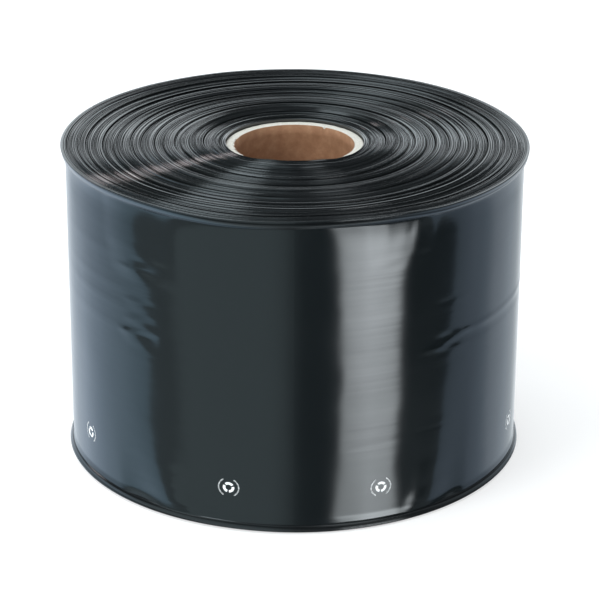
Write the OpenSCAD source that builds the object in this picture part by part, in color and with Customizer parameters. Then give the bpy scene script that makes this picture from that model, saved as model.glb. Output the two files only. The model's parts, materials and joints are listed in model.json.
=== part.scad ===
// Roll of flattened plastic tubing wound on a paperboard core, standing on end.
// The origin is the middle of the lower end, and the core's axis is +Z.

/* [Core] */
// Bore of the core, which slides on a roll spindle
core_bore = 76.2; // [40:0.1:160]
// Thickness of the core's paperboard wall
core_wall = 6.35; // [3:0.05:15]
// Length of the core
core_len = 203.2; // [100:0.1:400]

/* [Tubing] */
// Lay-flat width of the tubing, which is the height of every turn
film_w = 205; // [100:0.5:400]
// Thickness of one turn, which is both layers of the flattened tube
turn_t = 0.203; // [0.1:0.001:0.5]
// Number of turns wound on the core
turns = 507; // [200:1:700]
// Gap between the core and the first turn, none where the film is wound tight
seat_gap = 0; // [0:0.01:0.3]

/* [Rims] */
// How far the upper rim stands out from the wall, where the folded edges build up
top_flare = 3; // [0:0.1:8]
// Height over which the wall runs out to the upper rim
top_flare_h = 7; // [2:0.5:20]
// How far the lower rim stands out from the wall
base_flare = 2.4; // [0:0.1:8]
// Height over which the wall runs out to the lower rim
base_flare_h = 6; // [2:0.5:20]
// How far the outermost turns fall back from the end face, which rounds the rim
rim_drop = 0.3; // [0:0.1:3]

/* [Wound ends] */
// Turns that lie level with each other before the winding shifts, on average
band_turns = 12; // [8:1:40]
// Furthest that one band of turns is shifted along the core from another
wander = 0.8; // [0:0.1:3]
// How much further along the core the first turns lie than the last ones
crown = 1.1; // [0:0.1:4]
// Share of a band's width that the gap beside it takes
gap_share = 0.2; // [0.05:0.01:0.5]
// Depth of a usual gap between two bands
gap_depth = 0.8; // [0.1:0.1:3]
// Depth of the few gaps where the winding slipped
slip_depth = 3; // [1:0.1:8]
// Seed of the uneven winding
winding_seed = 7; // [1:1:99]

/* [Free end] */
// Direction of the free end of the last turn, anticlockwise from +X
tail_at = 128; // [0:1:359]

/* [Hidden] */

core_r = core_bore / 2 + core_wall;
seat_r = core_r + seat_gap;
wall_r = seat_r + turns * turn_t;
flare_points = 6;
tail_steps = 6;
step_overlap = 2;
corner_share = 0.03;

bands = round(turns / band_turns);
widths = rands(0.4, 1.6, bands, winding_seed);
shifts = rands(0, 1, bands, winding_seed + 1);
slips = rands(0, 1, bands, winding_seed + 2);

function sum(list, last) = last < 0 ? 0 : list[last] + sum(list, last - 1);

// Share of the winding that lies inside the band's inner edge
function inside(i) = sum(widths, i - 1) / sum(widths, bands - 1);

// The shift along the core, more by the core than at the wall
function shift(i) = wander * shifts[i] + crown * pow(1 - inside(i), 3);

// The outermost turns fall back from both end faces
function drop(share) = rim_drop * pow(max(0, (share - 1 + corner_share) / corner_share), 2);

function gap(i) = slips[i] > 0.72 ? slip_depth * slips[i] : gap_depth * (0.4 + slips[i]);

// Crest and gap of each band on one end face, from the core out to the rim
function end_face(rim_r, z, up) = [
    for (i = [0 : bands - 1])
        let (
            from = inside(i),
            to = inside(i + 1),
            width = rim_r - seat_r,
            mouth = gap_share * (to - from),
            crest = z + shift(i),
            last = i == bands - 1
        )
        each concat(
            [
                [seat_r + width * from, crest - up * drop(from)],
                [seat_r + width * (to - (last ? 0 : mouth)), crest - up * drop(to)]
            ],
            last ? [] : [[seat_r + width * (to - mouth / 2), crest - up * gap(i)]]
        )
];

function backwards(list) = [for (i = [len(list) - 1 : -1 : 0]) list[i]];

// The wall from the lower rim to the upper one, run out to each by a curve
function wall(out) = concat(
    [
        for (k = [0 : flare_points])
            let (s = 1 - k / flare_points)
            [
                wall_r + out + base_flare * s * s,
                shift(bands - 1) + rim_drop + (base_flare_h - rim_drop) * (1 - s)
            ]
    ],
    [
        for (k = [0 : flare_points])
            let (s = k / flare_points)
            [
                wall_r + out + top_flare * s * s,
                film_w + shift(bands - 1) - rim_drop - (top_flare_h - rim_drop) * (1 - s)
            ]
    ]
);

module core() {
    color([0.86, 0.79, 0.69])
    difference() {
        cylinder(h = core_len, r = core_r, $fn = 180);
        translate([0, 0, -1])
        cylinder(h = core_len + 2, d = core_bore, $fn = 180);
    }
}

// All the turns, which touch from the core to the wall
module winding() {
    top = end_face(wall_r + top_flare, film_w, 1);
    base = end_face(wall_r + base_flare, 0, -1);
    side = wall(0);
    inner = [for (p = side) if (p != side[0] && p != side[len(side) - 1]) p];
    rotate_extrude($fn = 180)
    polygon(concat(base, inner, backwards(top)));
}

// What lies outside the last turn where it has closed in by this depth
module outside_last_turn(depth) {
    side = wall(-depth);
    n = len(side) - 1;
    below = 2 * side[0] - side[1];
    above = 2 * side[n] - side[n - 1];
    far = wall_r + 2 * (top_flare + base_flare) + 5;
    polygon(concat(
        [[far, below[1]], below],
        [for (i = [1 : n - 1]) side[i]],
        [above, [far, above[1]]]
    ));
}

// The winding, on which the last turn closes in a step at a time behind its free end
module film_roll() {
    sector = 360 / tail_steps;
    color([0.16, 0.19, 0.2])
    difference() {
        winding();
        for (k = [1 : tail_steps - 1])
            rotate([0, 0, tail_at - k * sector])
            rotate_extrude(angle = sector + (k > 1 ? step_overlap : 0), $fn = 180)
            outside_last_turn(turn_t * (1 - (k - 1) / (tail_steps - 1)));
    }
}

core();
film_roll();
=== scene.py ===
# %% [markdown]
# A roll of poly tubing, built around its CAD frame.
#
# The roll is one long flattened tube of dark polyethylene film, wound about five hundred times on a
# paperboard core. Its look comes from three things: the glossy wall, which mirrors the studio lights
# as tall stripes; the two wound ends, where the edges of all the turns lie side by side like the
# grooves of a record; and the pale cut end of the core with its brown paper lining.

# %% Load the frame
import json
import math
import random

import bmesh
import bpy
from mathutils import Matrix, Vector, noise


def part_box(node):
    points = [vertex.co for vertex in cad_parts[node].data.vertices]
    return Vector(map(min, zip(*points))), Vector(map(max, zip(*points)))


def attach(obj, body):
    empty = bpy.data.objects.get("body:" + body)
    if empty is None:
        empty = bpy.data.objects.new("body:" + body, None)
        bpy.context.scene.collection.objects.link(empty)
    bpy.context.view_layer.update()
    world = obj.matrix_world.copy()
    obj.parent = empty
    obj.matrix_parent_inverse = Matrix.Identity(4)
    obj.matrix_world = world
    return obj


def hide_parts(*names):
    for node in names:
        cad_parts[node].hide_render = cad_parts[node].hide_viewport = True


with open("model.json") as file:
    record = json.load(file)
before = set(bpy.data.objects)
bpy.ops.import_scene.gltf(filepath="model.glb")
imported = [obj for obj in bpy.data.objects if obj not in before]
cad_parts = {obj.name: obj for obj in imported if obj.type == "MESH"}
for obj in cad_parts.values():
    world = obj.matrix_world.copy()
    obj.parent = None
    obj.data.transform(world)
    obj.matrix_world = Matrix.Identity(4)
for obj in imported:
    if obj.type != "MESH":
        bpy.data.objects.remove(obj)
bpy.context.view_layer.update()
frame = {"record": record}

# %% [markdown]
# Every size comes from the frame where it can. The rims, the core and the bore are read from the
# boxes of the two solids and from the bore mount. The few sizes that a box can't tell, such as the
# radius of the wall between its rims, are named here in metres.

# %% Sizes
MM = 0.001
film_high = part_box("film_roll")[1]
core_low, core_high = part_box("core")
mounts = {m["name"]: m for m in frame["record"]["mounts"]}

bore_r = mounts["bore"]["dims"]["r_mm"] * MM
core_r = core_high.x
core_top = core_high.z
top_rim_r = film_high.x
top_flare = 3.0 * MM
base_flare = 2.4 * MM
wall_r = top_rim_r - top_flare
base_rim_r = wall_r + base_flare
film_w = 205.0 * MM
rim_drop = 0.3 * MM
rim_shift = 0.35 * MM
turn_t = 0.203 * MM
tail_at = math.radians(128)

print(f"wall {wall_r * 2000:.1f} mm across, film {film_w * 1000:.0f} mm wide, core {core_r * 2000:.1f} mm")

# %% [markdown]
# The photo's camera stands in front of the roll, on the -Y side, and looks down at about 23 degrees
# through a long lens. The distance, the pitch and the focal length were found by fitting the roll's
# own circles and edges to its outline. The image is square, so the sensor's 36 mm is its width and
# its height. The roll stands a few pixels left of the middle, so the camera is set over to the right.

# %% Camera
IMAGE = 600
focal_px = 2527.0
camera_distance = 1.665
camera_pitch = math.radians(22.804)
aim = Vector((3.36 * MM, 0, 94.4 * MM))

camera_data = bpy.data.cameras.new("camera")
camera_data.sensor_width = 36.0
camera_data.lens = camera_data.sensor_width * focal_px / IMAGE
camera_data.clip_end = 100.0
camera = bpy.data.objects.new("camera", camera_data)
camera.location = aim + camera_distance * Vector((0, -math.cos(camera_pitch), math.sin(camera_pitch)))
camera.rotation_euler = (math.radians(90) - camera_pitch, 0, 0)
bpy.context.scene.collection.objects.link(camera)
bpy.context.scene.camera = camera
bpy.context.scene.view_settings.view_transform = "Standard"
print(f"lens {camera_data.lens:.1f} mm, camera {camera_distance:.3f} m away")

# %% [markdown]
# A round piece is turned on the bmesh spin operator from its outline. One spin of a full turn with
# hundreds of steps is slow, so the outline is spun a quarter turn, and three copies are turned to
# close the ring, where the doubled seams are merged. The outline is a closed loop, so the piece is
# a closed ring with an inside that never shows.

# %% Turning helpers
def spin_outline(outline, steps, sharp=()):
    """A closed ring turned from (radius, height) points; the points listed in sharp keep a crease."""
    bm = bmesh.new()
    crease = bm.verts.layers.float.new("crease")
    verts = [bm.verts.new((r, 0, z)) for r, z in outline]
    for i in sharp:
        verts[i][crease] = 1.0
    edges = [bm.edges.new(pair) for pair in zip(verts, verts[1:] + verts[:1])]
    centre, axis = (0, 0, 0), (0, 0, 1)
    bmesh.ops.spin(bm, geom=verts + edges, cent=centre, axis=axis,
                   angle=math.pi / 2, steps=steps // 4, use_merge=False)
    quarter = bm.verts[:] + bm.edges[:] + bm.faces[:]
    for k in (1, 2, 3):
        copy = bmesh.ops.duplicate(bm, geom=quarter)["geom"]
        turned = [g for g in copy if isinstance(g, bmesh.types.BMVert)]
        bmesh.ops.rotate(bm, verts=turned, cent=centre, matrix=Matrix.Rotation(k * math.pi / 2, 3, "Z"))
    bmesh.ops.remove_doubles(bm, verts=bm.verts[:], dist=1e-7)
    bmesh.ops.recalc_face_normals(bm, faces=bm.faces[:])
    for face in bm.faces:
        face.smooth = True
    if sharp:
        for edge in bm.edges:
            edge.smooth = not all(v[crease] > 0.5 for v in edge.verts)
    return bm


def add_piece(name, bm, material, stands_for=None):
    """Turn a bmesh into a piece that rides with the roll and takes a material."""
    mesh = bpy.data.meshes.new(name)
    bm.to_mesh(mesh)
    bm.free()
    piece = bpy.data.objects.new(name, mesh)
    bpy.context.scene.collection.objects.link(piece)
    mesh.materials.append(material)
    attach(piece, "root")
    if stands_for:
        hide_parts(stands_for)
    print(f"{name}: {len(mesh.polygons)} faces")


def swell(x, low, high):
    """A smooth step from 0 at low to 1 at high, also where high is below low."""
    t = min(1.0, max(0.0, (x - low) / (high - low)))
    return t * t * (3 - 2 * t)


def hump(x, middle, half_width):
    """A smooth bump of height 1 at the middle, 0 past the half width."""
    t = min(1.0, abs(x - middle) / half_width)
    return (1 - t * t) ** 2

# %% [markdown]
# Materials are node trees written by a small helper, so that each one reads as a recipe. Numbers that
# are the same all over a surface are set on the shader's own sockets.

# %% Material helper
class Nodes:
    """Short calls for adding nodes to a tree and joining them."""

    def __init__(self, tree):
        self.tree = tree

    def node(self, kind, settings=None, **inputs):
        made = self.tree.nodes.new("ShaderNode" + kind)
        for key, value in (settings or {}).items():
            setattr(made, key, value)
        for key, value in inputs.items():
            numbered = key[0] == "i" and key[1:].isdigit()
            socket = made.inputs[int(key[1:]) if numbered else key.replace("_", " ")]
            if isinstance(value, bpy.types.NodeSocket):
                self.tree.links.new(value, socket)
            else:
                socket.default_value = value
        return made

    def math(self, operation, a, b=0.0, c=0.0):
        return self.node("Math", {"operation": operation}, i0=a, i1=b, i2=c).outputs[0]

    def fade(self, value, start, end, low=0.0, high=1.0):
        """A smooth change from low at the start to high at the end."""
        made = self.node("MapRange", {"interpolation_type": "SMOOTHSTEP"}, Value=value, From_Min=start,
                         From_Max=end, To_Min=low, To_Max=high)
        return made.outputs[0]

    def mix(self, share, a, b):
        return self.node("Mix", {"data_type": "RGBA"}, Factor=share, i6=a, i7=b).outputs[2]

    def scale(self, colour, by):
        return self.node("VectorMath", {"operation": "SCALE"}, Vector=colour, Scale=by).outputs[0]

    def add(self, a, b):
        return self.node("VectorMath", {"operation": "ADD"}, i0=a, i1=b).outputs[0]

    def clouds(self, vector, scale, detail, roughness=0.5):
        """Noise of this many waves to the metre, with finer noise on it."""
        made = self.node("TexNoise", None, Vector=vector, Scale=scale, Detail=detail, Roughness=roughness)
        return made.outputs[0]

    def bump(self, height, strength, distance, **more):
        return self.node("Bump", None, Height=height, Strength=strength, Distance=distance, **more).outputs[0]

    def ramp(self, factor, stops):
        made = self.node("ValToRGB", None, Fac=factor)
        elements = made.color_ramp.elements
        while len(elements) > 1:
            elements.remove(elements[-1])
        for i, (position, colour) in enumerate(stops):
            element = elements[0] if i == 0 else elements.new(position)
            element.position = position
            element.color = (*colour, 1.0)
        return made.outputs["Color"]


class Recipe(Nodes):
    """A material that starts from constants on its principled shader."""

    def __init__(self, name, **sockets):
        self.material = bpy.data.materials.new(name)
        self.material.use_nodes = True
        super().__init__(self.material.node_tree)
        self.shader = self.tree.nodes["Principled BSDF"]
        for socket, value in sockets.items():
            self.shader.inputs[socket.replace("_", " ").title().replace("Ior", "IOR")].default_value = value

    def into(self, socket, value):
        self.tree.links.new(value, self.shader.inputs[socket])

    def place(self):
        """Object coordinates in metres, with the radius from the roll's axis."""
        coords = self.node("TexCoord").outputs["Object"]
        parts = self.node("SeparateXYZ", None, Vector=coords).outputs
        squares = self.math("ADD", self.math("MULTIPLY", parts["X"], parts["X"]),
                            self.math("MULTIPLY", parts["Y"], parts["Y"]))
        return coords, parts, self.math("SQRT", squares)

# %% [markdown]
# Film on the wall. Polyethylene is nearly black here, with a little blue-green, and mirrors the room
# with the four per cent of any plastic. Its gloss isn't even: the film keeps faint lines that run
# the way it came out of the machine, and slow patches where it lies a little loose. In the lowest
# millimetre or so the gloss fades to nothing, which is painted shade for the floor's shadow it mirrors.

# %% Wall film material
def wall_film():
    recipe = Recipe("wall_film", base_color=(0.0050, 0.0068, 0.0075, 1), roughness=0.13, ior=1.5)
    coords, parts, _ = recipe.place()
    lines = recipe.node("Mapping", None, Vector=coords, Scale=(2.0, 2.0, 260.0)).outputs[0]
    grain = recipe.clouds(lines, 1.0, 3.0, 0.6)
    loose = recipe.clouds(coords, 26.0, 2.0)
    gloss = recipe.node("MapRange", None, Value=loose, To_Min=0.10, To_Max=0.17).outputs[0]
    recipe.into("Roughness", gloss)
    # Painted shade: the gloss fades to nothing in the lowest millimetres, in place of the floor's shadow that
    # the foot would mirror
    recipe.into("Specular IOR Level", recipe.fade(parts["Z"], 0.0014, 0.0030, 0.0, 0.5))
    fine = recipe.bump(grain, 0.2, 0.0002)
    recipe.into("Normal", recipe.bump(loose, 0.12, 0.0015, Normal=fine))
    return recipe.material

# %% [markdown]
# Film on the wound ends. What shows is not the film's face but its folded edges, one every fifth of a
# millimetre. The large steps between bands of turns are modelled. The single turns are too fine, so
# they are a bump that depends on the radius alone, and the gloss is stretched across them, as on a
# record, which gives the light fans that turn with the lamps. Turns that lie a little low would be shaded
# by their neighbours: that shade is painted, as narrow rings where the gloss is turned down.

# %% Wound end material
def end_film():
    recipe = Recipe("end_film", base_color=(0.0034, 0.0042, 0.0045, 1), roughness=0.2, ior=1.5,
                    anisotropic=0.75, anisotropic_rotation=0.25)
    radius = recipe.place()[2]
    radius_mm = recipe.math("MULTIPLY", radius, 1000.0)
    flat = recipe.node("CombineXYZ", None, X=radius_mm).outputs[0]
    edges = recipe.clouds(flat, 1.5, 2.5, 0.6)
    recipe.into("Normal", recipe.bump(edges, 0.4, 0.0005))
    recipe.into("Tangent", recipe.node("Tangent", {"direction_type": "RADIAL", "axis": "Z"}).outputs[0])
    tone = recipe.node("MapRange", None, Value=edges, From_Min=0.3, From_Max=0.7,
                       To_Min=0.12, To_Max=0.22).outputs[0]
    recipe.into("Roughness", tone)
    # Painted shade: narrow rings of weaker gloss, standing in for turns shaded by their neighbours
    shade_rings = recipe.clouds(flat, 0.6, 3.0, 0.8)
    recipe.into("Specular IOR Level", recipe.fade(shade_rings, 0.40, 0.60, 0.12, 1.0))
    return recipe.material


wall_material = wall_film()
end_material = end_film()

# %% [markdown]
# No roll this heavy stands quite true. The winding leans a little to one side, and its outer turns have
# crept up along the core on the side where they were handled, so that neither rim is level. The first
# turns stand proud of the core in front and lie lower behind. All of this is a millimetre or three, as
# small functions of the height or the direction that the wound ends and the wall share.

# %% Lean and rise
def facing(angle):
    """Degrees round the wall from the side that faces the camera, positive to the right."""
    degrees = math.degrees(angle) + 90.0
    return (degrees + 180.0) % 360.0 - 180.0


def between(x, points):
    """A smooth curve through (x, y) points, level before the first and after the last."""
    if x <= points[0][0]:
        return points[0][1]
    for (x0, y0), (x1, y1) in zip(points, points[1:]):
        if x < x1:
            return y0 + (y1 - y0) * swell(x, x0, x1)
    return points[-1][1]


# Rise of the upper rim in mm, by direction
RIM_RISE = ((-180, 0.5), (-157, 1.0), (-107, 1.7), (-60, 2.7), (-44, 2.8), (-15, 1.1), (12, 2.0), (24, 1.6),
            (39, 0.4), (80, 0.1), (115, -0.4), (150, 0.0), (180, 0.5))

# Rise of the first turns, and of the lower rim, in mm, by direction
CORE_RISE = ((-180, -1.5), (-110, -1.3), (-60, -0.9), (-40, -0.3), (-18, 1.0), (0, 1.2), (18, 1.0),
             (38, -0.3), (60, -0.9), (110, -1.3), (180, -1.5))
BASE_RISE = ((-180, 0.2), (-100, 0.4), (-66, 1.3), (-20, 1.2), (8, 0.7), (60, 0.9), (100, 0.3), (180, 0.2))

# How far the winding's top stands over, and how much further over it is than the foot, in mm
LEAN_TOP, LEAN = 0.25, 1.05


def lean(z):
    """How far the winding stands over towards +X at a height."""
    return (LEAN_TOP - LEAN * (1 - z / film_w)) * MM


def rise(angle, r, z):
    """How far the turns have crept up: the outer ones at both rims, and the first ones by the core."""
    side = facing(angle)
    outer, upper = swell(r, wall_r - 22 * MM, wall_r - 1 * MM), swell(z, film_w - 45 * MM, film_w - 8 * MM)
    at_top = between(side, RIM_RISE) * outer * upper
    at_base = between(side, BASE_RISE) * outer * swell(z, 40 * MM, 6 * MM)
    at_core = between(side, CORE_RISE) * swell(r, core_r + 22 * MM, core_r + 2 * MM) * upper
    return (at_top + at_base + at_core) * MM

# %% [markdown]
# The wound ends. Each turn is a strip of the same width, so where a band of turns is shifted up at one
# end it is shifted up at the other. Where the winding slipped, a dark gap opens and the next band
# starts at another height. Between the slips, a few turns at a time stand slightly proud, which gives
# the many fine lines. Each of these ridges has a flat top, an outer edge worn round by handling, and a
# gap. One function makes the outline of an end, and both ends use it. On the lower end the weight of
# the roll has pressed the lowest ridges flat.

# %% Outline of a wound end
# Radius in mm where the winding slipped, how far the next turns lie up or down, and how deep it gapes
SLIPS = ((47.3, -0.6, 0.8), (48.5, 0.6, 0.4), (54.7, -0.8, 0.9), (58.9, 0.9, 0.8), (60.8, -0.7, 0.9),
         (67.7, -0.8, 1.0), (73.1, -1.1, 2.6), (77.6, 0.9, 0.9), (84.8, -0.5, 3.0), (90.5, 0.4, 2.4),
         (95.8, -0.9, 1.0), (99.2, 0.9, 0.9), (106.2, 0.8, 0.9), (107.9, -0.9, 1.2), (111.4, -0.7, 0.9),
         (116.6, -1.1, 3.6), (122.0, -0.7, 0.9), (123.9, 0.9, 0.9), (128.3, -0.8, 1.1), (133.3, -0.8, 0.9),
         (134.7, 0.8, 0.9), (139.8, -0.6, 2.6), (143.9, -0.6, 1.0), (146.7, 0.5, 0.8))

# How far to each side of a slip the turns are out of level, in mm
SLIP_REACH = 7.0

# What the width of a ridge and the depth of its gap are drawn from, in mm
RIDGE_WIDTHS = (0.6, 0.75, 0.9, 1.1, 1.4)
GAP_DEPTHS = (0.5, 0.7, 1.0, 1.4)


def slipped(r):
    """How far the slips near a radius have moved the turns there, easing back to level between them."""
    level = 0.0
    for at, step, _ in SLIPS:
        away = (r / MM - at) / SLIP_REACH
        if abs(away) < 1:
            level += step * ((0.5 if away >= 0 else -0.5) * (1 - abs(away)) ** 1.4)
    return level * MM


def winding(seed=5):
    """Ridges of a few turns each, as (inner edge, outer edge, shift, tilt, gap depth, gap width)."""
    dice = random.Random(seed)
    limits = [(core_r, 0)] + [(at * MM, depth * MM) for at, _, depth in SLIPS] + [(top_rim_r, 0)]
    ridges = []
    for (start, _), (end, slip_depth) in zip(limits, limits[1:]):
        r = start
        while r < end - 0.25 * MM:
            width = min(dice.choice(RIDGE_WIDTHS) * MM, end - r)
            if end - r - width < 0.4 * MM:
                width = end - r
            slip = r + width > end - 1e-6
            gap = slip_depth if slip else dice.choice(GAP_DEPTHS) * MM
            wide = (0.34 + 0.18 * slip_depth / MM) * MM if slip else min(0.30 * width, 0.30 * MM)
            shift = slipped(r + width / 2) + dice.uniform(-0.20, 0.20) * MM
            tilt = dice.uniform(-0.04, 0.40) * width
            ridges.append((r, r + width, shift, tilt, gap, min(wide, 0.5 * width)))
            r += width
    return ridges


RIDGES = winding()
print(len(RIDGES), "ridges of turns from the core to the rim")

# %% [markdown]
# An end is a closed ring: the ridged face in front and a plain back six millimetres behind it, which
# the wall hides. Turns that lie next to each other stray from a true circle together, and their height
# changes slowly round the roll, so both are smooth noise over the direction and the radius. The noise
# fades out by the core, by the rim and towards the back, so that the end still meets its neighbours.

# %% Wound end pieces
END_STEPS = 200
SHELL = 6.0 * MM
CROWN, WORN = 1.1 * MM, 0.18 * MM


def end_outline(rim_r, up):
    """The ridged face as heights above the end's own level, with the points that keep a crease. Up is 1 or
    -1.
    """
    scale = (rim_r - core_r) / (top_rim_r - core_r)
    outline, sharp = [], []
    for i, (start, end, shift, tilt, gap, mouth) in enumerate(RIDGES):
        width = end - start
        share = (start - core_r) / (top_rim_r - core_r)
        crown = CROWN * (1 - share) ** 3
        fall = rim_drop * swell(share, 0.962, 1.0) + 0.15 * MM * hump(share, 0.978, 0.012)
        level = crown + shift * (1 - swell(share, 0.95, 1.0)) + rim_shift - up * fall
        last = i == len(RIDGES) - 1
        brink = end - (0 if last else mouth)
        points = [(start + 0.05 * width, level - up * tilt / 2),
                  (brink - WORN, level + up * tilt / 2),
                  (brink, level + up * (tilt / 2 - 1.05 * WORN))]
        if not last:
            points.append((end, level - up * gap))
        for r, z in points:
            outline.append((core_r + (r - core_r) * scale, z))
        sharp += range(len(outline) - len(points), len(outline))
    return outline, sharp


def wobble(angle, r):
    """How far the turns stray from true circles, the same for neighbours."""
    p = Vector((math.cos(angle) * 1.3, math.sin(angle) * 1.3, r * 38.0))
    return 0.32 * MM * noise.noise(p)


def ripple(angle, r):
    """How the height of the turns changes round the roll."""
    slow = noise.noise(Vector((math.cos(angle) * 1.1, math.sin(angle) * 1.1, r * 22.0 + 7.0)))
    quick = noise.noise(Vector((math.cos(angle) * 5.0, math.sin(angle) * 5.0, r * 240.0)))
    return 0.30 * MM * slow + 0.10 * MM * quick


def wound_end(name, rim_r, z, up):
    outline, sharp = end_outline(rim_r, up)
    face_points = len(outline)
    back = z - up * SHELL
    full = [(r, z + h) for r, h in outline]
    full += [(rim_r - 0.6 * MM, z - up * 3.0 * MM), (rim_r - 3 * MM, back), (core_r + 0.3 * MM, back)]
    bm = spin_outline(full, END_STEPS, sharp)
    for v in bm.verts:
        r, angle = math.hypot(v.co.x, v.co.y), math.atan2(v.co.y, v.co.x)
        free = swell(r, core_r + 0.2 * MM, core_r + 2 * MM) * swell(r, rim_r - 0.2 * MM, rim_r - 3 * MM)
        near_face = swell(up * (v.co.z - back), 1.0 * MM, 3.0 * MM)
        grown = (r + wobble(angle, r) * free * near_face) / r
        v.co.x = v.co.x * grown + lean(v.co.z) * swell(r, core_r, rim_r)
        v.co.y *= grown
        v.co.z += ripple(angle, r) * near_face * free + rise(angle, r, v.co.z)
        v.co.z = max(v.co.z, 0.0)
    add_piece(name, bm, end_material, "film_roll")


wound_end("film_end_top", top_rim_r - 0.12 * MM, film_w, 1)
wound_end("film_end_base", base_rim_r - 0.12 * MM, 0.0, -1)

# %% [markdown]
# The wall is the face of the last turn. It runs out to a rim at each end, because the tubing's folded
# edges are thicker than its middle and build up turn by turn. It is turned from an outline that runs
# up the outside and back down the inside, and its vertices are then moved to give the last turn's
# relief: the creases, the loose ripples and the slow closing in towards its free end.

# %% Wall outline
WALL_STEPS = 400
WALL_ROWS = 116
RIM_ROWS, BUNCHING = 24, 1.3
RUN_H, FOOT_H = 18.0 * MM, 11.0 * MM
FLARE_SUM, FOOT_SUM = 3.03 * MM, 2.54 * MM
WALL_SHELL, LIP = 3.0 * MM, 0.45 * MM


def leaning_out(below, straight, end):
    """Reach of a slope of 1 that holds for the straight part under the rim and eases out by the end."""
    u = min(1.0, max(0.0, (below - straight) / (end - straight)))
    return max(0.0, straight - below) + (end - straight) * (0.5 - u + u ** 3 - u ** 4 / 2)


def wall_radius(z):
    """Radius of the wall at a height, with the run-out to each rim."""
    below = film_w + rim_shift - rim_drop - z
    above = max(0.0, z - rim_shift - rim_drop)
    flare = 0.38 * leaning_out(below, 3.2 * MM, 6.6 * MM) + 0.13 * leaning_out(below, 0.0, 18.0 * MM)
    foot = (0.14 * leaning_out(above, 6.2 * MM, 9.0 * MM) + 0.25 * leaning_out(above, 3.0 * MM, 4.6 * MM)
            + 0.35 * leaning_out(above, 0.4 * MM, 2.6 * MM))
    return wall_r + flare * top_flare / FLARE_SUM + foot * base_flare / FOOT_SUM


def wall_heights():
    """Heights of the rows, close together in the rims and even between them."""
    top_z = film_w + rim_shift - rim_drop
    base_z = rim_shift + rim_drop
    low = [base_z + FOOT_H * (k / RIM_ROWS) ** BUNCHING for k in range(RIM_ROWS)]
    high = [top_z - RUN_H * (1 - k / RIM_ROWS) ** BUNCHING for k in range(1, RIM_ROWS + 1)]
    start, end = base_z + FOOT_H, top_z - RUN_H
    middle = [start + (end - start) * k / WALL_ROWS for k in range(WALL_ROWS + 1)]
    return low + middle + high

# %% [markdown]
# The last turn is stretched over the winding, but not evenly. Soft pleats run up it where the tension
# changed, and they show in what the film mirrors and hardly in its outline: a pleat a tenth of a
# millimetre high turns the film by a degree or two. So a pleat is written as how far the film turns at
# each height, and how far it stands off the winding follows from that. The last turn also closes in
# by its own thickness on its way round, which leaves the step at its free end.

# %% Wall relief
# Soft ridges that run up the wall: where they stand, how wide they are, and how far the film
# turns there at each height, in degrees
PLEATS = (
    (-38.6, 11.0, ((2, 8), (10, 7), (19, 5.1), (24, 3.8), (29, 3.0), (40, 1.2), (50, 0.4), (66, -0.4),
                   (108, -0.2), (125, 0.3), (152, 0.2), (162, -2.2), (178, -4.0), (202, -4.6))),
    (-38.6, 6.0, ((104, 0), (108.6, 0.5), (113, -2.2), (118.6, -4.8), (120.6, -1.4), (121.6, 0.9),
                  (125, -0.4), (126.6, -2), (128.6, -1.4), (132.4, 0.8), (136, -0.6), (139.9, -1.7),
                  (143, 0.5), (152, 0.3), (156, -0.6), (159.0, -1.6), (161.0, -3.6), (163.4, -0.8),
                  (166.6, 2.4), (170, 0), (174, -0.6), (178, 0))),
    (10.5, 7.0, ((2, -1.6), (20, -0.8), (50, 0.1), (77, 0.2), (100, 0.7), (140, 0.1), (185, -0.8),
                 (202, -2))),
    (22.0, 5.0, ((2, 0), (172, 0), (181, 1.6), (193, 2.4), (202, 2.4))),
    (26.0, 6.0, ((2, 0.6), (14, 0.3), (24, 0.2), (38, -0.2), (60, 0.2), (90, 0.6), (158, 0.8), (167, 1.1),
                 (175.5, 2.3), (181, 3.8), (193, 5.2), (202, 5.6))),
    (41.0, 8.0, ((2, -7.5), (10, -6.5), (22, -4.8), (45, -2.6), (70, -1.0), (105, 0.4), (140, 1.0),
                 (160, 1.4), (202, 1.6))),
    (41.0, 6.0, ((104, 0), (108.5, 1.0), (112, -3.6), (117.5, 3.0), (122, -0.4), (138, 0.3), (141, 1.4),
                 (144, 0))),
)


def relief(angle, z):
    """How far the last turn stands off the winding."""
    side, h = facing(angle), z / MM
    p = Vector((math.cos(angle), math.sin(angle), h / 90.0))
    lie = 0.10 * noise.noise(p * 1.6) + 0.05 * noise.noise(p * 4.0)
    inside = swell(h, 2, 10) * swell(h, 206, 198)
    crease = 0.0
    for middle, half_width, turns in PLEATS:
        if abs(side - middle) < 2 * half_width:
            turn = between(h, turns)
            away = side - middle - 0.5 * turn
            width = half_width + 0.35 * abs(turn)
            crease += math.radians(turn) * wall_r / MM * math.radians(away) * hump(away, 0, width)
    crease -= 0.05 * hump(side, 28.6 + 0.12 * (h - 195), 1.1) * swell(h, 188, 195)
    for middle, depth, width in ((117.5, 0.22, 3.0), (112.0, -0.14, 4.0)):
        crease += depth * hump(h, middle, width) * swell(side, 38, 46) * swell(side, 175, 120)
    for middle in (118.5, 134.0, 146.0, 166.5):
        crease += 0.05 * hump(h, middle, 5.0) * swell(side, -38, -50) * swell(side, -88, -66)
    crease -= 0.05 * hump(h, 57.0 + 0.10 * (side - 24), 1.7) * swell(side, 10, 16) * swell(side, 44, 38)
    return (lie + crease) * inside * MM


def on_wall(angle, r, z):
    """A point of the wall after the roll's lean and the rise of its rim."""
    return Vector((r * math.cos(angle) + lean(z), r * math.sin(angle), z + rise(angle, r, z)))


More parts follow.
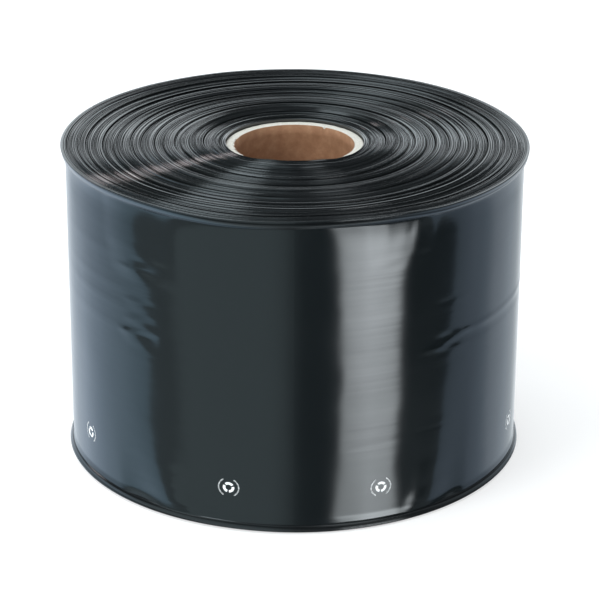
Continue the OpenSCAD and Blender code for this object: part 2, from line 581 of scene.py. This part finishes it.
def film_wall():
    heights = wall_heights()
    inner_r = wall_r - WALL_SHELL
    outline = [(wall_radius(z), z) for z in heights]
    top, base = outline[-1], outline[0]
    outline = [(base[0] - 0.5 * MM, base[1] - LIP)] + outline + [(top[0] - 0.5 * MM, top[1] + LIP)]
    outline += [(inner_r, outline[-1][1] - 1.5 * MM), (inner_r, outline[0][1] + 1.5 * MM)]
    bm = spin_outline(outline, WALL_STEPS)
    step = 2 * math.pi / WALL_STEPS
    for v in bm.verts:
        r, angle = math.hypot(v.co.x, v.co.y), math.atan2(v.co.y, v.co.x)
        if r < inner_r + 1 * MM:
            continue
        turned = ((angle - tail_at) / (2 * math.pi)) % 1.0
        if turned > 1 - 1.01 / WALL_STEPS:
            angle = tail_at - 0.02 * step
            turned = 1.0
        r += relief(angle, v.co.z) - turn_t * turned
        v.co = on_wall(angle, r, v.co.z)
    add_piece("film_wall", bm, wall_material, "film_roll")


film_wall()

# %% [markdown]
# The tubing is printed along one edge with a small white mark that repeats round the roll. The words
# and the sign of the real print are left out: a ring of three arcs stands for the sign, and two arcs of
# short ticks for the words beside it. Each mark is laid out flat and then wrapped on the wall.

# %% Printed marks
# Direction in degrees and height in mm of each mark
MARKS = ((-62.3, 31.0), (-15.8, 28.2), (21.6, 26.2), (72.0, 28.6), (118.0, 30.2), (163.0, 29.0),
         (-152.0, 27.5), (-107.0, 29.8))
INK_LOW, INK_TOP = -0.04 * MM, 0.07 * MM
RING_INNER, RING_OUTER = 2.0 * MM, 3.7 * MM

# Radius in mm of the arc that the ticks stand on, and how many there are on each side
TICKS_AT, TICKS = 6.5, 15


def print_material():
    return Recipe("white_ink", base_color=(0.90, 0.91, 0.91, 1), roughness=0.5, ior=1.5).material


def flat_arc(bm, inner, outer, start, end, steps):
    """Part of a flat ring, from one direction to another in degrees."""
    a = math.radians(start)
    row = [bm.verts.new((r * math.cos(a), r * math.sin(a), 0)) for r in (inner, outer)]
    edge = bm.edges.new(row)
    bmesh.ops.spin(bm, geom=row + [edge], cent=(0, 0, 0), axis=(0, 0, 1), steps=steps,
                   angle=math.radians(end - start), use_merge=False)


def flat_mark():
    bm = bmesh.new()
    for k in range(3):
        flat_arc(bm, RING_INNER, RING_OUTER, 120 * k + 34, 120 * k + 132, 8)
    for side in (0, 180):
        for k in range(TICKS):
            middle = side - 56 + k * 8
            half = 0.42 if k % 3 else 0.25
            flat_arc(bm, (TICKS_AT - half) * MM, (TICKS_AT + half) * MM, middle - 1.7, middle + 1.7, 1)
    bmesh.ops.recalc_face_normals(bm, faces=bm.faces[:])
    thick = bmesh.ops.extrude_face_region(bm, geom=bm.faces[:])["geom"]
    raised = [g for g in thick if isinstance(g, bmesh.types.BMVert)]
    bmesh.ops.translate(bm, verts=bm.verts[:], vec=(0, 0, INK_LOW))
    bmesh.ops.translate(bm, verts=raised, vec=(0, 0, INK_TOP - INK_LOW))
    return bm


def film_print():
    bm = flat_mark()
    one = bm.verts[:] + bm.edges[:] + bm.faces[:]
    groups = [[g for g in one if isinstance(g, bmesh.types.BMVert)]]
    for _ in MARKS[1:]:
        copy = bmesh.ops.duplicate(bm, geom=one)["geom"]
        groups.append([g for g in copy if isinstance(g, bmesh.types.BMVert)])
    for (side, height), verts in zip(MARKS, groups):
        for v in verts:
            angle = math.radians(side - 90.0) + v.co.x / wall_r
            z = height * MM + v.co.y
            turned = ((angle - tail_at) / (2 * math.pi)) % 1.0
            r = wall_radius(z) + relief(angle, z) - turn_t * turned + v.co.z
            v.co = on_wall(angle, r, z)
    bmesh.ops.recalc_face_normals(bm, faces=bm.faces[:])
    add_piece("film_print", bm, print_material())


film_print()

# %% [markdown]
# The free end of the last turn is at the back. Film that has been cut and let go doesn't lie quite
# flat, so a strip along the cut stands a little off the wall, most in the middle of its height.

# %% Free end
def film_tail():
    columns, rows = 16, 40
    reach, grip = math.radians(3.2), math.radians(5.5)
    low, high = rim_shift + rim_drop + 0.4 * MM, film_w + rim_shift - rim_drop - 0.4 * MM
    bm = bmesh.new()
    bmesh.ops.create_grid(bm, x_segments=columns, y_segments=rows, size=0.5)
    bmesh.ops.solidify(bm, geom=bm.faces[:], thickness=turn_t)
    inner = min(v.co.z for v in bm.verts)
    outer = max(v.co.z for v in bm.verts)
    for v in bm.verts:
        across, share = v.co.x + 0.5, v.co.y + 0.5
        depth = turn_t * (v.co.z - inner) / (outer - inner)
        z = low + (high - low) * share
        ragged = 0.0016 * noise.noise(Vector((share * 5.0, 2.0, 0.0)))
        angle = tail_at - reach + (reach + grip) * across + ragged * (1 - across) / wall_r
        uneven = 0.5 + hump(share, 0.56, 0.7) + 0.5 * noise.noise(Vector((share * 4, 9, 0)))
        loose = (1 - across) ** 2 * uneven
        off = loose * 1.4 * MM * swell(share, 0.0, 0.08) * swell(share, 1.0, 0.92)
        r = wall_radius(z) + relief(angle, z) + off + depth - 0.6 * turn_t * across
        v.co = on_wall(angle, r, z)
    bmesh.ops.recalc_face_normals(bm, faces=bm.faces[:])
    for face in bm.faces:
        face.smooth = True
    add_piece("film_tail", bm, wall_material)


film_tail()

# %% [markdown]
# The core is a spiral-wound paperboard tube, cut with a blade. The cut shows pale board with faint
# plies, and the inside is lined with one ply of brown kraft paper, which tore a little as it was cut.

# %% Core materials
def board():
    recipe = Recipe("core_board", base_color=(0.70, 0.66, 0.59, 1), roughness=0.9)
    coords, _, radius = recipe.place()
    fibre = recipe.clouds(coords, 900.0, 3.0)
    plies = recipe.math("SINE", recipe.math("MULTIPLY", radius, 9000.0))
    tone = recipe.math("ADD", recipe.math("MULTIPLY", plies, 0.06), fibre)
    stops = [(0.25, (0.40, 0.37, 0.32)), (0.5, (0.50, 0.48, 0.43)), (0.75, (0.57, 0.55, 0.51))]
    recipe.into("Base Color", recipe.ramp(tone, stops))
    recipe.into("Normal", recipe.bump(fibre, 0.5, 0.0003))
    return recipe.material


def kraft():
    recipe = Recipe("core_kraft", base_color=(0.32, 0.18, 0.10, 1), roughness=0.8)
    coords = recipe.place()[0]
    blotch = recipe.clouds(coords, 160.0, 5.0, 0.7)
    stops = [(0.3, (0.22, 0.107, 0.054)), (0.55, (0.28, 0.145, 0.078)), (0.8, (0.35, 0.20, 0.115))]
    recipe.into("Base Color", recipe.ramp(blotch, stops))
    fibre = recipe.clouds(coords, 1500.0, 2.0)
    recipe.into("Normal", recipe.bump(fibre, 0.35, 0.0002))
    return recipe.material


board_material = board()
kraft_material = kraft()

# %% [markdown]
# The board tube is turned from its section, with small worn edges, and the lining is a second, thin
# ring inside it. On the left the blade left a burr: the inner edge of the cut is notched there, and the
# lining is torn back by the same noise, so that the two damages belong together.

# %% Core pieces
CORE_STEPS = 320
LINER, BEVEL = 0.35 * MM, 0.35 * MM


def ragged(angle):
    """Where the blade left its burr on the left of the bore: how coarse it is, and its fine teeth."""
    side = abs((math.degrees(angle) - 205.0 + 180.0) % 360.0 - 180.0)
    coarse = abs(noise.noise(Vector((math.cos(angle) * 6.0, math.sin(angle) * 6.0, 3.0))))
    teeth = abs(noise.noise(Vector((math.cos(angle) * 19.0, math.sin(angle) * 19.0, 8.0))))
    return coarse * swell(side, 60, 25), teeth * swell(side, 60, 25)


def torn(angle):
    """How far the lining is torn back below the cut, in metres, with one nick at the back."""
    coarse, teeth = ragged(angle)
    return (0.15 + 1.2 * coarse + 1.2 * teeth + 1.3 * hump(math.degrees(angle), 60.0, 2.4)) * MM


def notched(point, limit):
    """Share by which the cut's inner edge gives way outwards."""
    r = math.hypot(point.x, point.y)
    coarse, teeth = ragged(math.atan2(point.y, point.x))
    return 1 + (1.4 * coarse + 3.2 * teeth) * MM / r if r < limit else 1.0


def core_tube():
    inner, edge = bore_r + LINER, BEVEL
    rows = 8
    top, base = core_top, core_low.z
    outline = [(core_r - edge, base), (core_r, base + edge)]
    outline += [(core_r, base + (top - base) * k / rows) for k in range(1, rows)]
    outline += [(core_r, top - edge), (core_r - edge, top)]
    outline += [(core_r - (core_r - inner) * k / 5, top) for k in range(1, 5)]
    outline += [(inner + edge, top), (inner, top - edge)]
    outline += [(inner, top - (top - base) * k / rows) for k in range(1, rows)]
    outline += [(inner, base + edge), (inner + edge, base)]
    bm = spin_outline(outline, CORE_STEPS)
    for v in bm.verts:
        if v.co.z > core_top - 0.5 * MM:
            v.co.z -= 0.12 * MM * (1 + noise.noise(v.co * 260.0))
            v.co.xy *= notched(v.co, inner + 1.0 * MM)
    add_piece("core_tube", bm, board_material, "core")


def core_liner():
    rows = 30
    outline = [(bore_r, core_low.z + (core_top - core_low.z) * k / rows) for k in range(rows, -1, -1)]
    outline += [(bore_r + LINER - 0.01 * MM, z) for _, z in reversed(outline)]
    bm = spin_outline(outline, CORE_STEPS)
    for v in bm.verts:
        angle = math.atan2(v.co.y, v.co.x)
        if v.co.z > core_top - 0.1 * MM:
            v.co.xy *= notched(v.co, bore_r + 1.0 * MM)
            v.co.z -= torn(angle)
    add_piece("core_liner", bm, kraft_material, "core")


core_tube()
core_liner()

# %% [markdown]
# The floor is a plain pale sheet that the camera sees as nearly white. It glows a little, so that the
# roll's shadow on it stays faint. The film doesn't mirror it, because the table that the film does
# mirror is part of the studio.

# %% Floor
def floor_material():
    recipe = Recipe("floor_paper", base_color=(0.45, 0.45, 0.45, 1), roughness=0.9)
    recipe.shader.inputs["Specular IOR Level"].default_value = 0.0
    recipe.shader.inputs["Emission Color"].default_value = (1.0, 1.0, 1.0, 1.0)
    recipe.shader.inputs["Emission Strength"].default_value = 0.56
    return recipe.material


floor_bm = bmesh.new()
bmesh.ops.create_grid(floor_bm, x_segments=2, y_segments=2, size=6.0)
floor_mesh = bpy.data.meshes.new("floor")
floor_bm.to_mesh(floor_mesh)
floor_bm.free()
floor = bpy.data.objects.new("floor", floor_mesh)
bpy.context.scene.collection.objects.link(floor)
floor_mesh.materials.append(floor_material())
floor.visible_glossy = False

# %% [markdown]
# The tall stripes on the wall are the studio, seen in it. An upright cylinder mirrors each direction
# round it in a strip of its own, so the studio is a world whose light depends on the direction: colour
# ramps round the horizon for the room, the table, the horizon itself and what stands over it, and soft
# lamps above for the fans on the wound end. Only the camera sees plain white instead. Three broad
# lamps, which the film doesn't mirror, light the paper of the core and the floor.

# %% Studio
# Radiance by direction, in degrees round from the camera's side. Below the horizon come the room in
# front of the table's edge and then the table itself, round the horizon a darker band and over it a
# low ring of light, and last what stands above the ring
ROOM_LIGHTS = (
    (-180, (0.62, 0.79, 0.84)),
    (-12, (0.62, 0.79, 0.84)),
    (-5, (0.50, 0.63, 0.67)),
    (0, (0.24, 0.30, 0.32)),
    (4, (0.07, 0.09, 0.10)),
    (22, (0.07, 0.09, 0.11)),
    (24.5, (6.0, 6.5, 6.7)),
    (38, (9.0, 9.7, 10.1)),
    (51, (7.6, 8.2, 8.5)),
    (54, (0.02, 0.03, 0.035)),
    (180, (0.02, 0.03, 0.035)),
)
TABLE_LIGHTS = (
    (-180, (1.00, 1.06, 1.12)),
    (-166, (1.00, 1.10, 1.20)),
    (-150, (1.02, 1.18, 1.35)),
    (-135, (1.20, 1.45, 1.75)),
    (-118, (1.08, 1.40, 1.76)),
    (-95, (1.00, 1.40, 1.75)),
    (-79, (0.80, 1.20, 1.50)),
    (-45, (0.85, 1.00, 1.05)),
    (-8, (0.40, 0.46, 0.50)),
    (8, (0.45, 0.52, 0.56)),
    (35, (0.95, 1.10, 1.16)),
    (60, (1.00, 1.15, 1.22)),
    (80, (0.45, 0.60, 0.76)),
    (100, (0.52, 0.66, 0.84)),
    (112, (0.60, 0.76, 0.94)),
    (120, (0.88, 1.04, 1.22)),
    (140, (0.86, 0.99, 1.12)),
    (150, (0.80, 0.90, 0.98)),
    (162, (0.98, 1.06, 1.12)),
    (180, (1.00, 1.06, 1.12)),
)
BAND_LIGHTS = (
    (-180, (0.60, 0.72, 0.84)),
    (-124, (0.80, 0.98, 1.15)),
    (-117, (0.14, 0.18, 0.20)),
    (-90, (0.12, 0.15, 0.17)),
    (-82, (0.56, 0.70, 0.76)),
    (-12, (0.62, 0.76, 0.82)),
    (0, (0.20, 0.24, 0.25)),
    (10, (0.09, 0.11, 0.12)),
    (180, (0.05, 0.06, 0.07)),
)
RING_LIGHTS = (
    (-180, (0.55, 0.64, 0.72)),
    (-120, (0.80, 1.00, 1.18)),
    (-90, (0.85, 1.10, 1.30)),
    (-72, (0.66, 0.80, 0.86)),
    (-12, (0.60, 0.74, 0.80)),
    (0, (0.50, 0.56, 0.60)),
    (21, (0.34, 0.40, 0.42)),
    (25, (4.2, 4.5, 4.7)),
    (38, (6.4, 6.8, 7.0)),
    (51, (4.6, 5.0, 5.2)),
    (55, (0.50, 0.56, 0.60)),
    (110, (0.50, 0.60, 0.66)),
    (180, (0.55, 0.64, 0.72)),
)
UPPER_LIGHTS = (
    (-180, (0.20, 0.23, 0.25)),
    (-80, (0.20, 0.23, 0.25)),
    (-73, (0.50, 0.62, 0.67)),
    (-10, (0.50, 0.62, 0.67)),
    (0, (0.16, 0.18, 0.20)),
    (180, (0.16, 0.18, 0.20)),
)
# Soft lights above: direction, height, half width and softness in degrees, and radiance
LIGHTS = (
    (-75, 58, 10, 8, (3.1, 3.6, 3.8)),
    (-150, 62, 10, 8, (1.7, 2.0, 2.1)),
    (-122, 25, 3, 5, (7.0, 6.3, 6.4)),
    (163, 30, 9, 8, (2.5, 2.7, 2.8)),
    (-168, 25, 7, 7, (2.0, 2.2, 2.3)),
    (32, 42, 9, 8, (0.9, 1.0, 1.05)),
)
BRIGHTEST = 12.0


def studio():
    world = bpy.data.worlds.new("studio")
    bpy.context.scene.world = world
    world.use_nodes = True
    world.node_tree.nodes.clear()
    sky = Nodes(world.node_tree)
    way = sky.node("TexCoord").outputs["Generated"]
    parts = sky.node("SeparateXYZ", None, Vector=way).outputs
    turn = sky.math("ARCTAN2", parts["X"], sky.math("MULTIPLY", parts["Y"], -1.0))
    share = sky.math("MULTIPLY_ADD", turn, 0.5 / math.pi, 0.5)

    def by_direction(stops):
        scaled = [((turned + 180) / 360, [c / BRIGHTEST for c in colour]) for turned, colour in stops]
        return sky.scale(sky.ramp(share, scaled), BRIGHTEST)

    def beyond(direction):
        """How far a direction lies past the plane that has this normal."""
        made = sky.node("VectorMath", {"operation": "DOT_PRODUCT"}, i0=way, i1=direction)
        return made.outputs["Value"]

    # The table's front edge is straight, and the room under it starts behind its dark front face
    edge = beyond((-0.0525, 1.0, -0.363))
    face = sky.fade(beyond((-0.0525, 1.0, -1.0)), -0.04, 0.05)
    gain = sky.fade(parts["Z"], -0.47, -0.33, -0.42, 0.08)
    window = sky.math("MULTIPLY", sky.fade(parts["X"], 0.10, 0.25), gain)
    room = sky.scale(by_direction(ROOM_LIGHTS), sky.math("ADD", window, 1.0))
    front = sky.mix(sky.fade(parts["X"], -0.2, 0.2), (0.34, 0.42, 0.45, 1), (0.03, 0.04, 0.05, 1))
    room = sky.mix(face, room, front)
    low_right = sky.math("MULTIPLY", sky.fade(parts["X"], 0.70, 0.80), sky.fade(parts["Z"], -0.385, -0.45))
    room = sky.mix(low_right, room, (0.20, 0.24, 0.26, 1))
    far_left = sky.math("MULTIPLY", sky.fade(parts["X"], -0.3, -0.7), sky.fade(parts["Z"], -0.41, -0.34))
    table = sky.scale(by_direction(TABLE_LIGHTS), sky.math("MULTIPLY_ADD", far_left, -0.25, 1.0))
    below = sky.mix(sky.fade(edge, -0.012, 0.012), room, table)

    ring = sky.fade(parts["Z"], 0.28, 0.20)
    above = sky.mix(sky.fade(parts["Z"], 0.60, 0.80), by_direction(UPPER_LIGHTS), (0.20, 0.23, 0.25, 1))
    above = sky.mix(ring, above, by_direction(RING_LIGHTS))
    backdrop = sky.math("MULTIPLY", sky.fade(parts["Z"], 0.34, 0.26), sky.fade(parts["Y"], 0.70, 0.85))
    above = sky.mix(backdrop, above, (1.02, 1.10, 1.16, 1))
    for azimuth, elevation, half_width, soft, colour in LIGHTS:
        a, e = math.radians(azimuth), math.radians(elevation)
        toward = (math.sin(a) * math.cos(e), -math.cos(a) * math.cos(e), math.sin(e))
        rim, full = math.cos(math.radians(half_width + soft)), math.cos(math.radians(half_width))
        inside = sky.fade(beyond(toward), rim, full)
        above = sky.add(above, sky.scale(colour, inside))

    # The band round the horizon is widest in front and lies lower towards the back, where it ends
    over_table = sky.fade(beyond((0, 0.12, 1.0)), -0.262, -0.238)
    over_band = sky.fade(beyond((0, 0.20, 1.0)), -0.13, -0.09)
    ends = sky.fade(parts["Y"], 0.72, 0.84)
    light = sky.mix(over_table, below, by_direction(BAND_LIGHTS))
    light = sky.mix(over_band, light, above)
    plain = sky.mix(sky.fade(parts["Z"], -0.08, 0.02), below, above)
    light = sky.mix(ends, light, plain)
    seen = sky.mix(sky.node("LightPath").outputs["Is Camera Ray"], light, (1, 1, 1, 1))
    background = sky.node("Background", None, Color=seen, Strength=1.0)
    sky.tree.links.new(background.outputs[0], sky.node("OutputWorld").inputs[0])


studio()


def soft_sky(name, toward, spread, strength):
    """A broad even light from above, wide enough to leave only a faint shadow."""
    data = bpy.data.lights.new(name, "SUN")
    data.angle = math.radians(spread)
    data.energy = strength
    lamp = bpy.data.objects.new(name, data)
    lamp.location = toward
    lamp.rotation_euler = Vector(toward).to_track_quat("Z", "Y").to_euler()
    lamp.visible_glossy = False
    bpy.context.scene.collection.objects.link(lamp)


soft_sky("overhead", (-0.3, -0.2, 2.0), 90.0, 1.9)
soft_sky("left_fill", (-1.5, -1.0, 1.1), 30.0, 1.3)
soft_sky("right_fill", (0.9, -1.5, 0.9), 40.0, 0.3)
